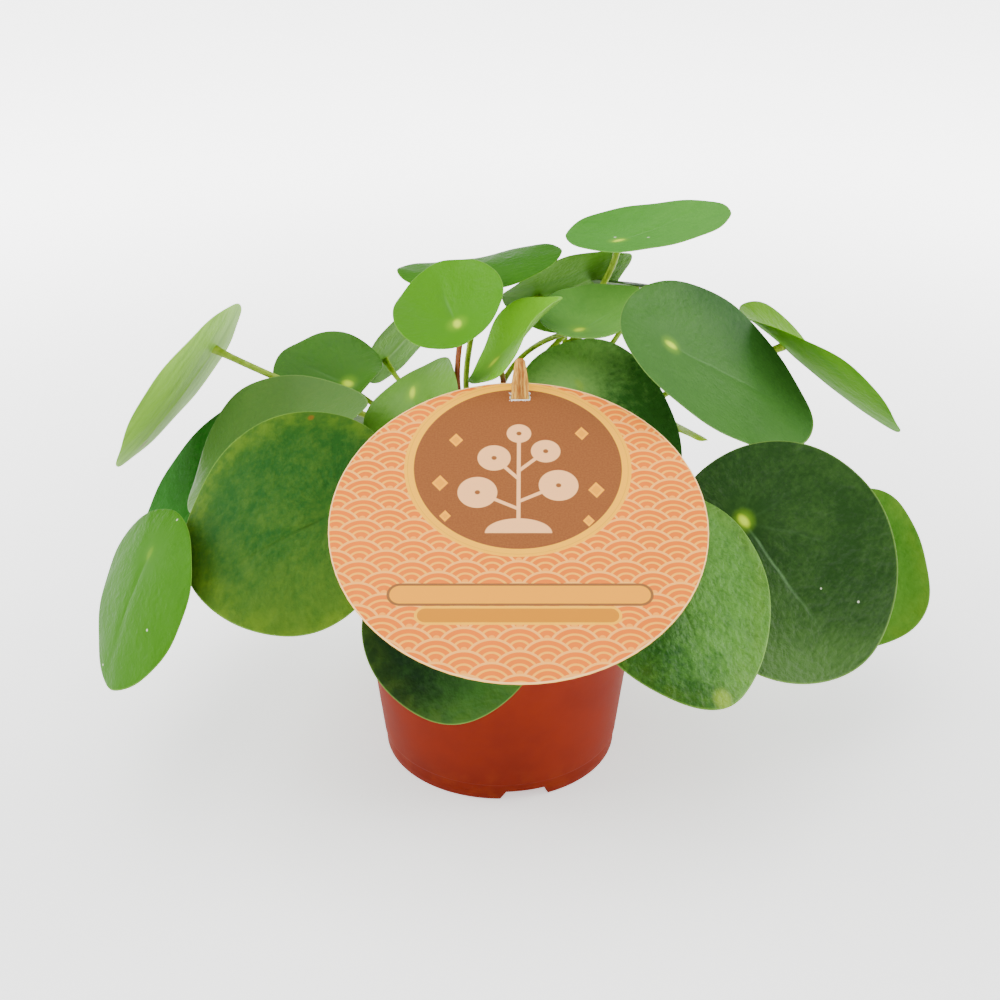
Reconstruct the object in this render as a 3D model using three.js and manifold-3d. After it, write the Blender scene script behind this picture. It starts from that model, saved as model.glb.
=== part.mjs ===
// Potted money plant with a round label card on a wooden stick. Millimetres, +Z up, -Y faces the viewer.
import * as THREE from 'three';
import { mergeVertices } from 'three/addons/utils/BufferGeometryUtils.js';
import Module from 'manifold-3d';

const wasm = await Module();
wasm.setup();

// Driving dimensions. Everything is laid out from the pot's own axis; POT_X and POT_Y then put
// that axis in the frame, whose origin is under the middle of the plant's outline.
const POT_X = -10.8;
const POT_Y = 6.2;
const GAP = 0.3;                // clearance between pieces that touch

// Pot
const BASE_R = 46;
const TAPER = 0.113;            // growth of the outer radius per mm of height
const POT_H = 92;
const WALL = 1.2;
const COLLAR_Z = 79.6;
const COLLAR_R = 58.2;
const RIM_R = 60;
const FLOOR_UNDER = 3.6;
const FLOOR_TOP = 5;
const FOOT_RING_R = 43.3;
const LEDGE_Z = 6.7;
const LEDGE_STEP = 0.35;
const NOTCHES = 3;
const NOTCH_AZ = -77.6;         // degrees, the notch that faces the viewer
const NOTCH_H = 3.5;
const NOTCH_FOOT = [-10.4, 9.6]; // its two sides 1 mm below the floor line, the left one slopes more
const NOTCH_TOP = [-7.6, 7.4];
const POT_SIDES = 48;

// Soil and trunk
const SOIL_TOP = 84;
const SOIL_BUMP = 0.7;
const SOIL_SIDES = 36;
const TRUNK_FOOT = 56;
const TRUNK_TOP = 145;
const TRUNK_R = 5.3;
const SCAR = 0.25;              // height of the ring that each fallen leaf leaves
const SCAR_PITCH = 6;
const CROWN_Z = 140;            // where the trunk's lean is measured
const CROWN_X = -8;
const CROWN_Y = 2;
const TRUNK_SIDES = 12;

// Label card and stick
const CARD_R = 62;
const CARD_T = 0.7;
const CARD_X = 6;
const CARD_Y = -70;
const CARD_Z = 131;
const CARD_TILT = 25;           // degrees, the near edge hangs low
const CARD_SIDES = 72;
const STICK_W = 6;
const STICK_T = 2;
const STICK_TIP_W = 3.6;
const STICK_TIP_TAPER = 9;
const STICK_CHAMFER = 1.6;      // cut corners of the foot
const STICK_BLUNT = 0.9;        // cut corners of the tip
const STICK_X = 7;
const STICK_TIP_Y = -18.1;
const STICK_TIP_Z = 168;
const STICK_FOOT_Y = -36.8;
const STICK_FOOT_Z = 30;

// Leaves
const BLADE_T = 0.9;
const BLADE_SIDES = 24;
const BLADE_RINGS = [0.5, 1];
const OFFSET = 0.24;            // the stalk joins this share of the length away from the middle
const TIP = 0.03;               // how far the blunt tip stands out, as a share of the length
const STALK_SIDES = 6;
const STALK_STEPS = 8;
const STALK_START = 5;          // distance of a stalk's foot from the trunk's axis
const STALK_R = 0.9;            // radius, plus STALK_R_GAIN for each mm of leaf length
const STALK_R_GAIN = 0.008;
const STALK_R_MIN = 1;
const STALK_R_MAX = 1.6;

// One row per leaf: name, the joint of stalk and blade (x, y, z), the way the blade leans (azimuth),
// how far it leans, the turn of its tip about its own normal, length, width, droop, cup, ripple,
// then the height on the trunk where the stalk starts, its sideways bow and its upward bow.
const LEAVES = [
  ["leaf_01", -110, 33, 153, 165, 59, 25, 76, 77, -5, 3, -0.5, 122, -4, -10],
  ["leaf_02", -105, 27, 114, -147, 45, 12, 74, 65, -6, 0, 0.5, 106, 6, 0],
  ["leaf_03", -101, -6, 120, -155, 36, 162, 75, 65, 8, 6, 2, 112, 4, 0],
  ["leaf_04", -54, -56, 128, -112, 43, -74, 82, 82, 8, -4, 3, 104, -4, -6],
  ["leaf_05", -123, -42, 104, -150, 54, 6, 65, 66, 8, -4, 0.5, 100, 2, -2],
  ["leaf_06", -59, 34, 138, -115, 36, -100, 41, 42, -7, -4, -3, 118, 1, -3],
  ["leaf_07", -48, 75, 133, 146, 60, -142, 46, 48, 2, 0, 0.5, 129, 19, 0],
  ["leaf_08", -32, 5, 146, -149, 52, 49, 50, 50, 8, 3, -1, 132, 0, 0],
  ["leaf_09", -6, 30, 183, 171, 7, -74, 61, 63, 5, 3, -0.5, 139, 12, -14],
  ["leaf_10", -15, -5, 176, -131, 28, -127, 46, 41, -2, 4, 0.5, 138, 0, 12],
  ["leaf_11", -2, 2, 159, -175, 45, -169, 44, 38, 0, 4, 2.5, 140, 2, -1],
  ["leaf_12", 15, 73, 161, 106, 50, -106, 54, 52, -7, -4, 2, 131, -28, 5],
  ["leaf_13", 29, 11, 168, -100, 3, 146, 43, 42, -7, 6, 0, 135, 49, 4],
  ["leaf_14", 45, 44, 192, 163, 8, -130, 62, 66, -4, 3, 0, 140, 16, -12],
  ["leaf_15", 61, -2, 167, -35, 39, 33, 83, 72, -1, 5, -0.5, 130, 37, 28],
  ["leaf_16", 29, 5, 149, -69, 40, 16, 74, 57, 8, 2, 2, 122, 3, 7],
  ["leaf_17", 110, 39, 152, 15, 41, -5, 78, 81, -1, 9, 1.5, 118, 20, 4],
  ["leaf_18", 58, 28, 129, 30, 28, 0, 38, 38, 2, -1, 0.5, 113, 0, 0],
  ["leaf_19", 84, -46, 119, -80, 57, 39, 87, 80, 8, 7, 2, 101, 21, -7],
  ["leaf_20", 130, 4, 82, -62, 66, 39, 60, 64, -5, 3, 2, 94, 4, 8],
  ["leaf_21", 51, -65, 122, -63, 38, -1, 79, 69, 3, 0, 1.5, 95, -10, -1],
  ["leaf_22", -16, -72, 105, -90, 62, 0, 57, 60, 2, 1, 1, 97, 0, 0],
  ["leaf_23", -38, 54, 120, 115, 35, 0, 66, 60, 6, -2, 1, 115, 0, 0],
  ["leaf_24", 54, 64, 169, 70, 20, 0, 42, 40, 2, -1, 0.5, 125, -8, 0],
  ["leaf_25", 18, 70, 118, 80, 42, 0, 74, 72, 6, -2, 1, 112, 0, 0],
  ["leaf_26", 86, 66, 136, 40, 36, 0, 68, 66, 6, -2, 1, 108, 14, -6],
  ["leaf_27", -84, 60, 104, 148, 48, 0, 70, 68, 6, -2, 1, 103, -6, 6],
  ["leaf_28", -12, 90, 91, 98, 56, 0, 65, 64, 6, -2, 1, 98, 0, 4],
  ["leaf_29", 57, 80, 86, 55, 57, 0, 62, 58, 6, -2, 1, 97, 0, 4],
  ["leaf_30", -66, 70, 90, 130, 55, 0, 62, 60, 6, -2, 1, 94, 0, 4],
  ["leaf_31", -1, 30, 137, 90, 30, 0, 18, 16, 1, 0, 0.3, 135, 0, 0],
];

// Leaf colours, from young to old; a leaf in none of the lists is plain dark green
const TONES = { young: 0x74a83a, mid: 0x5e9450, dark: 0x2f6428, deep: 0x1b4220 };
const YOUNG = ['leaf_05', 'leaf_10', 'leaf_11', 'leaf_18', 'leaf_20'];
const MID = ['leaf_01', 'leaf_03', 'leaf_08', 'leaf_09', 'leaf_13', 'leaf_14', 'leaf_15', 'leaf_17', 'leaf_21'];
const DEEP = ['leaf_02', 'leaf_16', 'leaf_19', 'leaf_22', 'leaf_24', 'leaf_28'];

const rad = THREE.MathUtils.degToRad;

// A closed body from a geometry: corners joined, faces turned outwards.
function solid(geometry) {
  const bare = geometry.clone();
  bare.deleteAttribute('normal');
  bare.deleteAttribute('uv');
  const joined = mergeVertices(bare, 1e-4);
  const vertProperties = new Float32Array(joined.attributes.position.array);
  const triVerts = new Uint32Array(joined.index.array);
  const body = new wasm.Manifold(new wasm.Mesh({ numProp: 3, vertProperties, triVerts }));
  if (body.volume() > 0) return body;
  for (let i = 0; i < triVerts.length; i += 3) {
    const first = triVerts[i];
    triVerts[i] = triVerts[i + 1];
    triVerts[i + 1] = first;
  }
  return new wasm.Manifold(new wasm.Mesh({ numProp: 3, vertProperties, triVerts }));
}

// The outer radius of the pot's body at a height.
function bodyRadius(z) {
  return BASE_R + TAPER * z;
}

// A body turned about the upright axis from a list of [radius, height].
function turned(profile, sides) {
  const points = profile.map(([r, z]) => new THREE.Vector2(r, z));
  const lathe = new THREE.LatheGeometry(points, sides);
  lathe.rotateX(Math.PI / 2);
  return lathe;
}

// One notch through the foot ring: a wedge that points outwards along an azimuth.
function notch(azimuth) {
  const shape = new THREE.Shape();
  shape.moveTo(NOTCH_FOOT[0], -1);
  shape.lineTo(NOTCH_FOOT[1], -1);
  shape.lineTo(NOTCH_TOP[1], NOTCH_H);
  shape.lineTo(NOTCH_TOP[0], NOTCH_H);
  const wedge = new THREE.ExtrudeGeometry(shape, { depth: 10, bevelEnabled: false });
  const a = rad(azimuth);
  const outward = new THREE.Vector3(Math.cos(a), Math.sin(a), 0);
  const sideways = new THREE.Vector3(-Math.sin(a), Math.cos(a), 0);
  const place = new THREE.Matrix4().makeBasis(sideways, new THREE.Vector3(0, 0, 1), outward);
  place.setPosition(outward.clone().multiplyScalar(FOOT_RING_R - 4));
  wedge.applyMatrix4(place);
  return solid(wedge);
}

function pot() {
  const profile = [
    [0, FLOOR_TOP],
    [bodyRadius(FLOOR_TOP) - WALL, FLOOR_TOP],
    [bodyRadius(COLLAR_Z) - WALL, COLLAR_Z + 0.4],
    [COLLAR_R - 0.8, COLLAR_Z + 1.6],
    [RIM_R - 1.3, POT_H - 0.6],
    [RIM_R - 1.1, POT_H],
    [RIM_R - 0.2, POT_H],
    [RIM_R, POT_H - 0.6],
    [COLLAR_R + 0.5, COLLAR_Z + 0.8],
    [COLLAR_R, COLLAR_Z],
    [bodyRadius(COLLAR_Z), COLLAR_Z],
    [bodyRadius(LEDGE_Z), LEDGE_Z + 0.2],
    [bodyRadius(LEDGE_Z) - LEDGE_STEP, LEDGE_Z],
    [BASE_R, 0.6],
    [BASE_R - 0.4, 0],
    [FOOT_RING_R + 0.3, 0],
    [FOOT_RING_R, 0.3],
    [FOOT_RING_R, FLOOR_UNDER],
    [0, FLOOR_UNDER],
  ];
  let body = solid(turned(profile, POT_SIDES));
  for (let i = 0; i < NOTCHES; i++) {
    body = body.subtract(notch(NOTCH_AZ + (360 / NOTCHES) * i));
  }
  return body;
}

// The trunk leans, so its rings slide sideways as they rise.
function trunkAt(z) {
  const share = (z - SOIL_TOP) / (CROWN_Z - SOIL_TOP);
  return new THREE.Vector3(CROWN_X * share, CROWN_Y * share, z);
}

function trunk(grow) {
  const profile = [[0, TRUNK_FOOT - grow], [TRUNK_R - 1.2 + grow, TRUNK_FOOT - grow]];
  profile.push([TRUNK_R + grow, TRUNK_FOOT + 4]);
  for (let z = SOIL_TOP + 2; z < CROWN_Z; z += SCAR_PITCH) {
    profile.push([TRUNK_R + grow, z - 1.6]);
    profile.push([TRUNK_R + SCAR + grow, z]);
  }
  profile.push([TRUNK_R + grow, CROWN_Z + 1]);
  profile.push([TRUNK_R - 1.6 + grow, TRUNK_TOP - 1.2 + grow]);
  profile.push([0, TRUNK_TOP + grow]);
  const geometry = turned(profile, TRUNK_SIDES);
  const position = geometry.attributes.position;
  for (let i = 0; i < position.count; i++) {
    const axis = trunkAt(position.getZ(i));
    position.setX(i, position.getX(i) + axis.x);
    position.setY(i, position.getY(i) + axis.y);
  }
  return solid(geometry);
}

// The flat stick with its tapered tip: drawn from foot to tip, then tilted with its axis.
function stick(grow) {
  const foot = new THREE.Vector3(STICK_X, STICK_FOOT_Y, STICK_FOOT_Z);
  const tip = new THREE.Vector3(STICK_X, STICK_TIP_Y, STICK_TIP_Z);
  const length = foot.distanceTo(tip) + grow;
  const half = STICK_W / 2 + grow;
  const tipHalf = STICK_TIP_W / 2 + grow;
  const shape = new THREE.Shape();
  shape.moveTo(-half, 2 - grow);
  shape.lineTo(-half + STICK_CHAMFER, -grow);
  shape.lineTo(half - STICK_CHAMFER, -grow);
  shape.lineTo(half, 2 - grow);
  shape.lineTo(half, length - STICK_TIP_TAPER);
  shape.lineTo(tipHalf, length - 1);
  shape.lineTo(tipHalf - STICK_BLUNT, length);
  shape.lineTo(-tipHalf + STICK_BLUNT, length);
  shape.lineTo(-tipHalf, length - 1);
  shape.lineTo(-half, length - STICK_TIP_TAPER);
  const thick = STICK_T + 2 * grow;
  const flat = new THREE.ExtrudeGeometry(shape, { depth: thick, bevelEnabled: false });
  flat.translate(0, 0, -thick / 2);
  const along = tip.clone().sub(foot).normalize();
  const across = new THREE.Vector3(1, 0, 0);
  const face = across.clone().cross(along);
  flat.applyMatrix4(new THREE.Matrix4().makeBasis(across, along, face).setPosition(foot));
  return solid(flat);
}

function card() {
  const disc = new THREE.Shape();
  for (let i = 0; i < CARD_SIDES; i++) {
    const a = (2 * Math.PI * i) / CARD_SIDES;
    if (i === 0) disc.moveTo(CARD_R, 0);
    else disc.lineTo(CARD_R * Math.cos(a), CARD_R * Math.sin(a));
  }
  const plate = new THREE.ExtrudeGeometry(disc, { depth: CARD_T, bevelEnabled: false });
  plate.translate(0, 0, -CARD_T / 2);
  plate.rotateX(rad(CARD_TILT));
  plate.translate(CARD_X, CARD_Y, CARD_Z);
  return solid(plate).subtract(stick(GAP));
}

// Soil that fills the pot to just under the rim, with an uneven top and plain holes for what stands in it.
function soil() {
  const profile = [
    [0, FLOOR_TOP + GAP],
    [bodyRadius(FLOOR_TOP) - WALL - GAP, FLOOR_TOP + GAP],
    [bodyRadius(COLLAR_Z) - WALL - GAP, COLLAR_Z + 0.6],
    [COLLAR_R - 0.8 - GAP, COLLAR_Z + 1.9],
    [COLLAR_R - 0.8 - GAP, SOIL_TOP - 1.2],
    [50, SOIL_TOP - 0.8],
    [36, SOIL_TOP - 0.2],
    [18, SOIL_TOP + 0.4],
    [0, SOIL_TOP + 0.8],
  ];
  const geometry = turned(profile, SOIL_SIDES);
  const position = geometry.attributes.position;
  for (let i = 0; i < position.count; i++) {
    const r = Math.hypot(position.getX(i), position.getY(i));
    const z = position.getZ(i);
    if (z < SOIL_TOP - 1 || r < 1) continue;
    const a = Math.atan2(position.getY(i), position.getX(i));
    position.setZ(i, z + SOIL_BUMP * Math.sin(5 * Math.cos(a) + r / 4) * Math.cos(4 * Math.sin(a) - r / 6));
  }
  return solid(geometry).subtract(trunk(GAP)).subtract(stick(GAP));
}

// The axes of a blade: its normal, the way its tip points and the way across.
function bladeAxes(leaf) {
  const a = rad(leaf.azimuth);
  const l = rad(leaf.lean);
  const s = rad(leaf.spin);
  const normal = new THREE.Vector3(Math.sin(l) * Math.cos(a), Math.sin(l) * Math.sin(a), Math.cos(l));
  const down = new THREE.Vector3(Math.cos(l) * Math.cos(a), Math.cos(l) * Math.sin(a), -Math.sin(l));
  const level = normal.clone().cross(down);
  const tip = down.multiplyScalar(Math.cos(s)).addScaledVector(level, Math.sin(s));
  return { normal, tip, across: normal.clone().cross(tip) };
}

// A point of the blade's middle surface: rho runs from the joint (0) to the margin (1),
// theta turns round it from the tip.
function bladePoint(leaf, axes, rho, theta) {
  const c = Math.cos(theta);
  const along = OFFSET * leaf.length + 0.5 * leaf.length * c + TIP * leaf.length * Math.max(0, c) ** 8;
  const across = 0.5 * leaf.width * Math.sin(theta) * (1 - 0.07 * c);
  const u = rho * along;
  const v = rho * across;
  const reach = u > 0 ? u / ((0.5 + OFFSET) * leaf.length) : (0.55 * u) / ((0.5 - OFFSET) * leaf.length);
  const wave = leaf.ripple * rho ** 3 * Math.sin(3 * theta + 1.7 * leaf.index);
  const rise = -leaf.droop * reach ** 2 + leaf.cup * (v / (0.5 * leaf.width)) ** 2 + wave;
  return leaf.joint.clone()
    .addScaledVector(axes.tip, u)
    .addScaledVector(axes.across, v)
    .addScaledVector(axes.normal, rise);
}

// The blade: a fan and bands of triangles, the same on both faces, closed round the margin.
function blade(leaf, axes) {
  const points = [bladePoint(leaf, axes, 0, 0)];
  for (const rho of BLADE_RINGS) {
    for (let i = 0; i < BLADE_SIDES; i++) {
      points.push(bladePoint(leaf, axes, rho, (2 * Math.PI * i) / BLADE_SIDES));
    }
  }
  const faces = [];
  for (let i = 0; i < BLADE_SIDES; i++) {
    const next = (i + 1) % BLADE_SIDES;
    faces.push([0, 1 + i, 1 + next]);
    for (let ring = 1; ring < BLADE_RINGS.length; ring++) {
      const inner = 1 + (ring - 1) * BLADE_SIDES;
      const outer = inner + BLADE_SIDES;
      faces.push([inner + i, outer + i, outer + next]);
      faces.push([inner + i, outer + next, inner + next]);
    }
  }
  const sheet = new THREE.BufferGeometry().setFromPoints(points);
  sheet.setIndex(faces.flat());
  sheet.computeVertexNormals();
  const count = points.length;
  const corners = [];
  for (const side of [1, -1]) {
    points.forEach((point, i) => {
      const normal = new THREE.Vector3().fromBufferAttribute(sheet.attributes.normal, i);
      corners.push(point.clone().addScaledVector(normal, (side * BLADE_T) / 2));
    });
  }
  const all = faces.slice();
  faces.forEach(([a, b, c]) => all.push([a + count, c + count, b + count]));
  const rim = count - BLADE_SIDES;
  for (let i = 0; i < BLADE_SIDES; i++) {
    const a = rim + i;
    const b = rim + ((i + 1) % BLADE_SIDES);
    all.push([a, a + count, b + count], [a, b + count, b]);
  }
  const closed = new THREE.BufferGeometry().setFromPoints(corners);
  closed.setIndex(all.flat());
  return solid(closed);
}

// The stalk: a thin rod from inside the trunk to the underside of the blade.
function stalk(leaf, axes) {
  const start = trunkAt(leaf.stem);
  const out = leaf.joint.clone().sub(start).setZ(0).normalize();
  const foot = start.clone().addScaledVector(out, STALK_START);
  const reach = leaf.joint.distanceTo(foot);
  const meet = axes.normal.clone().sub(new THREE.Vector3(0, 0, 0.3)).normalize();
  const bow = new THREE.Vector3(-out.y * leaf.side, out.x * leaf.side, leaf.rise);
  const leave = out.clone().multiplyScalar(0.9).setZ(0.4);
  const first = foot.clone().addScaledVector(leave, 0.35 * reach).add(bow);
  const second = leaf.joint.clone().addScaledVector(meet, -0.25 * reach).addScaledVector(bow, 0.5);
  const path = new THREE.CubicBezierCurve3(foot, first, second, leaf.joint);
  const radius = THREE.MathUtils.clamp(STALK_R + STALK_R_GAIN * leaf.length, STALK_R_MIN, STALK_R_MAX);
  const section = new THREE.Shape();
  for (let i = 0; i < STALK_SIDES; i++) {
    const a = (2 * Math.PI * i) / STALK_SIDES;
    if (i === 0) section.moveTo(radius, 0);
    else section.lineTo(radius * Math.cos(a), radius * Math.sin(a));
  }
  const settings = { steps: STALK_STEPS, extrudePath: path, bevelEnabled: false };
  return solid(new THREE.ExtrudeGeometry(section, settings));
}

function leafOf(row, index) {
  const [name, x, y, z, azimuth, lean, spin, length, width, droop, cup, ripple, stem, side, rise] = row;
  const joint = new THREE.Vector3(x, y, z);
  return { name, index, joint, azimuth, lean, spin, length, width, droop, cup, ripple, stem, side, rise };
}

function toneOf(name) {
  if (YOUNG.includes(name)) return TONES.young;
  if (MID.includes(name)) return TONES.mid;
  if (DEEP.includes(name)) return TONES.deep;
  return TONES.dark;
}

const group = new THREE.Group();
group.name = 'potted_money_plant';

function place(name, body, color, roughness) {
  const mesh = body.getMesh();
  const geometry = new THREE.BufferGeometry();
  geometry.setAttribute('position', new THREE.BufferAttribute(new Float32Array(mesh.vertProperties), 3));
  geometry.setIndex(Array.from(mesh.triVerts));
  geometry.translate(POT_X, POT_Y, 0);
  geometry.computeVertexNormals();
  const material = new THREE.MeshStandardMaterial({ color, roughness, metalness: 0 });
  const piece = new THREE.Mesh(geometry, material);
  piece.name = name;
  group.add(piece);
}

place('pot', pot(), 0xb8502f, 0.45);
place('soil', soil(), 0x3a2a1e, 0.95);
place('trunk', trunk(0), 0x7d6c45, 0.85);
const bark = trunk(GAP);
for (const leaf of LEAVES.map(leafOf)) {
  const axes = bladeAxes(leaf);
  const body = blade(leaf, axes).add(stalk(leaf, axes)).subtract(bark);
  place(leaf.name, body, toneOf(leaf.name), 0.4);
}
place('label_card', card(), 0xf0a35e, 0.6);
place('label_stick', stick(0), 0xc79a62, 0.7);

export default group;
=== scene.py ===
"""Looks of the potted money plant with its round label card. Metres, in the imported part's frame."""
import math

import bpy
import numpy as np
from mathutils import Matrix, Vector


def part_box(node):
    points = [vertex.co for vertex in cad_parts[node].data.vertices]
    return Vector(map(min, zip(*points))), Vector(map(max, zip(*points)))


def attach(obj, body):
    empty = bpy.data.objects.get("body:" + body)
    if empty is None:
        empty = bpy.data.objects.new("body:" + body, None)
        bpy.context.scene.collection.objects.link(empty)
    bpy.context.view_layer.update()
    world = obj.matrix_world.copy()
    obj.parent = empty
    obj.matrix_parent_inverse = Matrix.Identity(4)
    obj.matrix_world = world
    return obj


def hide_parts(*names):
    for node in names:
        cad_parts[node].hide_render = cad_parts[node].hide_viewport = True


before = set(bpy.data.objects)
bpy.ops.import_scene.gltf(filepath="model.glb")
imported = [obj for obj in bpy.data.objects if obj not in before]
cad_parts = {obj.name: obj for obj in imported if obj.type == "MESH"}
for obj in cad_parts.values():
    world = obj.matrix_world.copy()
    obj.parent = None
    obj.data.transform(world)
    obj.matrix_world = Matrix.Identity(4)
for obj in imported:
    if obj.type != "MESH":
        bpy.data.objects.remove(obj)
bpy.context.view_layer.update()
MM = 0.001

# The pot's axis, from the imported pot; everything below is laid out from it in millimetres
pot_low, pot_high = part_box("pot")
AXIS = np.array([(pot_low.x + pot_high.x) / 2, (pot_low.y + pot_high.y) / 2, 0.0]) / MM

# Pot, as in the part
BASE_R = 46
TAPER = 0.113
POT_H = 92
WALL = 1.2
COLLAR_Z = 79.6
COLLAR_R = 58.2
RIM_R = 60
FLOOR_UNDER = 3.6
FLOOR_TOP = 5
FOOT_RING_R = 43.3
LEDGE_Z = 6.7
LEDGE_STEP = 0.35
NOTCHES = 3
NOTCH_AZ = -77.6
NOTCH_H = 3.5
NOTCH_FOOT = (-9.9, 9.1)
NOTCH_TOP = (-7.6, 7.4)

# Trunk and soil
SOIL_TOP = 84
CROWN_Z = 140
CROWN_X = -8
CROWN_Y = 2

# Label card and stick
CARD_R = 62
CARD = np.array([6.0, -70.0, 131.0])
CARD_TILT = math.radians(25)

# Leaves
OFFSET = 0.24                   # how far the stalk's joint lies off the blade's middle, in lengths
TIP = 0.03                      # how far the tip is drawn out, in lengths
STALK_START = 5                 # distance of a stalk's foot from the trunk's axis
STALK_R = 0.9
STALK_R_GAIN = 0.008
STALK_R_MIN = 1
STALK_R_MAX = 1.6
STALK_END_UNDER = 0.12          # how deep a stalk's end stays under the blade's middle surface
HALF = 0.42                     # half the blade's thickness
HALF_LESS = 0.17                # what it loses towards the margin
EDGE = 0.96                     # share of the way out at which the margin starts to round off
SECTORS = 120
RINGS = 16
STALK_SIDES = 12
STALK_STEPS = 24
VEIN_DEPTH = 0.4
VEIN_WIDTH = 2.2
PUCKER_RISE = 0.28
MARGIN_WAVE = 0.35

# The part's leaf rows: name, joint (x, y, z), azimuth, lean, spin, length, width, droop, cup, ripple,
# height of the stalk's foot on the trunk, sideways bow, upward bow
LEAVES = [
    ("leaf_01", -110, 33, 153, 165, 59, 25, 76, 77, -5, 3, -0.5, 122, -4, -10),
    ("leaf_02", -105, 27, 114, -147, 45, 12, 74, 65, -6, 0, 0.5, 106, 6, 0),
    ("leaf_03", -101, -6, 120, -155, 36, 162, 75, 65, 8, 6, 2, 112, 4, 0),
    ("leaf_04", -54, -56, 128, -112, 43, -74, 82, 82, 8, -4, 3, 104, -4, -6),
    ("leaf_05", -123, -42, 104, -150, 54, 6, 65, 66, 8, -4, 0.5, 100, 2, -2),
    ("leaf_06", -59, 34, 138, -115, 36, -100, 41, 42, -7, -4, -3, 118, 1, -3),
    ("leaf_07", -48, 75, 133, 146, 60, -142, 46, 48, 2, 0, 0.5, 129, 19, 0),
    ("leaf_08", -32, 5, 146, -149, 52, 49, 50, 50, 8, 3, -1, 132, 0, 0),
    ("leaf_09", -6, 30, 183, 171, 7, -74, 61, 63, 5, 3, -0.5, 139, 12, -14),
    ("leaf_10", -15, -5, 176, -131, 28, -127, 46, 41, -2, 4, 0.5, 138, 0, 12),
    ("leaf_11", -2, 2, 159, -175, 45, -169, 44, 38, 0, 4, 2.5, 140, 2, -1),
    ("leaf_12", 15, 73, 161, 106, 50, -106, 54, 52, -7, -4, 2, 131, -28, 5),
    ("leaf_13", 29, 11, 168, -100, 3, 146, 43, 42, -7, 6, 0, 135, 49, 4),
    ("leaf_14", 45, 44, 192, 163, 8, -130, 62, 66, -4, 3, 0, 140, 16, -12),
    ("leaf_15", 61, -2, 167, -35, 39, 33, 83, 72, -1, 5, -0.5, 130, 37, 28),
    ("leaf_16", 29, 5, 149, -69, 40, 16, 74, 57, 8, 2, 2, 122, 3, 7),
    ("leaf_17", 110, 39, 152, 15, 41, -5, 78, 81, -1, 9, 1.5, 118, 20, 4),
    ("leaf_18", 58, 28, 129, 30, 28, 0, 38, 38, 2, -1, 0.5, 113, 0, 0),
    ("leaf_19", 84, -46, 119, -80, 57, 39, 87, 80, 8, 7, 2, 101, 21, -7),
    ("leaf_20", 130, 4, 82, -62, 66, 39, 60, 64, -5, 3, 2, 94, 4, 8),
    ("leaf_21", 51, -65, 122, -63, 38, -1, 79, 69, 3, 0, 1.5, 95, -10, -1),
    ("leaf_22", -16, -72, 105, -90, 62, 0, 57, 60, 2, 1, 1, 97, 0, 0),
    ("leaf_23", -38, 54, 120, 115, 35, 0, 66, 60, 6, -2, 1, 115, 0, 0),
    ("leaf_24", 54, 64, 169, 70, 20, 0, 42, 40, 2, -1, 0.5, 125, -8, 0),
    ("leaf_25", 18, 70, 118, 80, 42, 0, 74, 72, 6, -2, 1, 112, 0, 0),
    ("leaf_26", 86, 66, 136, 40, 36, 0, 68, 66, 6, -2, 1, 108, 14, -6),
    ("leaf_27", -84, 60, 104, 148, 48, 0, 70, 68, 6, -2, 1, 103, -6, 6),
    ("leaf_28", -12, 90, 91, 98, 56, 0, 65, 64, 6, -2, 1, 98, 0, 4),
    ("leaf_29", 57, 80, 86, 55, 57, 0, 62, 58, 6, -2, 1, 97, 0, 4),
    ("leaf_30", -66, 70, 90, 130, 55, 0, 62, 60, 6, -2, 1, 94, 0, 4),
    ("leaf_31", -1, 30, 137, 90, 30, 0, 18, 16, 1, 0, 0.3, 135, 0, 0),
]

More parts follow.
